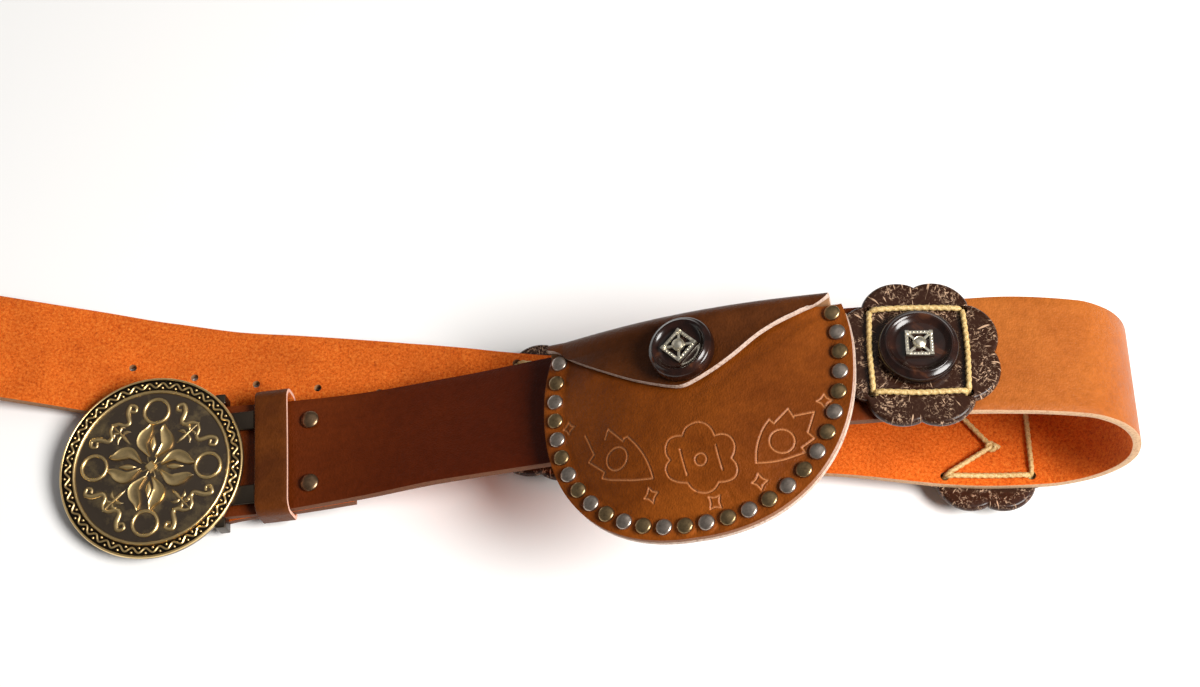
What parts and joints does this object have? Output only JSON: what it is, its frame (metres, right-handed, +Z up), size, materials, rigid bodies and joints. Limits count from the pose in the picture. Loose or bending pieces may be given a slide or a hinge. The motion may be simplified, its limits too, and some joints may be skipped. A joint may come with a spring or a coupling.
{
  "type": "money pouch belt",
  "caption": "Tan leather belt folded in two on a table, with a round cast buckle, a studded leather pouch and coconut shell flowers lashed on.",
  "frame": {"origin": "middle of the whole belt's outline on the table that it lies on", "axes": "+X from the buckle's end to the free loop, +Y towards the side away from the pouch's round bottom, +Z up"},
  "size_m": [0.4724, 0.1308, 0.0963],
  "materials": {
    "grain_leather": "tan vegetable leather, satin grain with an orange suede back",
    "pouch_leather": "tan tooled leather, satin, pale raw edges",
    "antique_brass": "aged, dark patina with rubbed bright edges",
    "nickel": "bright nickel domes, slightly worn",
    "silver_gilt": "pale brass, worn plating",
    "coconut_shell": "polished coconut shell, dark brown with pale fibres",
    "horn_button": "near black, glossy, slightly translucent",
    "flat_cord": "waxed golden cord, twisted"
  },
  "bodies": {
    "root": {"strap": "grain_leather", "keeper": "grain_leather", "pouch_belt_loop": "pouch_leather", "pouch_back_flap": "pouch_leather", "pouch_front": "pouch_leather", "buckle": "antique_brass", "strap_rivet_1": "antique_brass", "strap_rivet_2": "antique_brass", "flap_button": "horn_button", "flap_ornament": "silver_gilt", "shell_flower_1": "coconut_shell", "lashing_cord_1": "flat_cord", "flower_button_1": "horn_button", "flower_ornament_1": "silver_gilt", "shell_flower_2": "coconut_shell", "lashing_cord_2": "flat_cord", "flower_button_2": "horn_button", "flower_ornament_2": "silver_gilt", "shell_flower_3": "coconut_shell", "lashing_cord_3": "flat_cord", "flower_button_3": "horn_button", "flower_ornament_3": "silver_gilt", "pouch_stud_01": "nickel", "pouch_stud_02": "antique_brass", "pouch_stud_03": "nickel", "pouch_stud_04": "antique_brass", "pouch_stud_05": "nickel", "pouch_stud_06": "antique_brass", "pouch_stud_07": "nickel", "pouch_stud_08": "antique_brass", "pouch_stud_09": "nickel", "pouch_stud_10": "antique_brass", "pouch_stud_11": "nickel", "pouch_stud_12": "antique_brass", "pouch_stud_13": "nickel", "pouch_stud_14": "antique_brass", "pouch_stud_15": "nickel", "pouch_stud_16": "antique_brass", "pouch_stud_17": "nickel", "pouch_stud_18": "antique_brass", "pouch_stud_19": "nickel", "pouch_stud_20": "antique_brass", "pouch_stud_21": "nickel", "pouch_stud_22": "antique_brass", "pouch_stud_23": "nickel", "pouch_stud_24": "antique_brass", "pouch_stud_25": "nickel", "pouch_stud_26": "antique_brass", "pouch_stud_27": "nickel", "pouch_stud_28": "antique_brass"}
  },
  "joints": []
}
